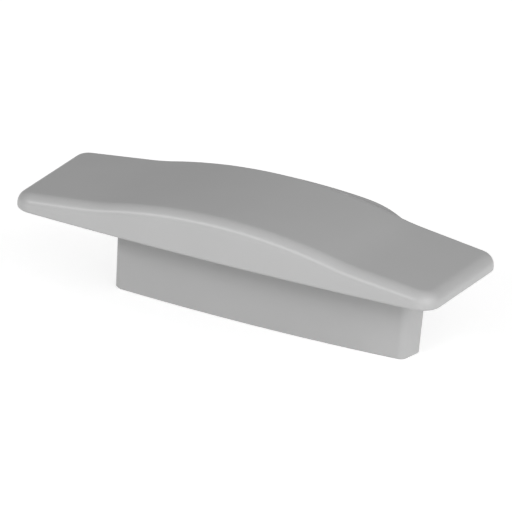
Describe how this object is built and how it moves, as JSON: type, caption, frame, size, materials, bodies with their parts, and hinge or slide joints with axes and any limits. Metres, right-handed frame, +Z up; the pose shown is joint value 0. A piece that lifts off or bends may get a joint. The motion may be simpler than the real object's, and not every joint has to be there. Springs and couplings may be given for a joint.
{
  "type": "profile end cap",
  "caption": "Moulded end cap for a flat profile: a low humped cover plate over a hollow, ribbed push-in plug set near its back edge.",
  "frame": {"origin": "on the flat underside of the head, half-way along its length and half-way between its straight back edge and its front corners", "axes": "+Z up through the head, away from the profile; +X along the cap's length; +Y towards the straight back edge, so the plug hangs down along -Z near +Y"},
  "size_m": [0.1, 0.0413, 0.0311],
  "materials": {
    "cap_plastic": "smooth satin light grey moulded plastic"
  },
  "bodies": {
    "root": {"end_cap": "cap_plastic"}
  },
  "joints": []
}
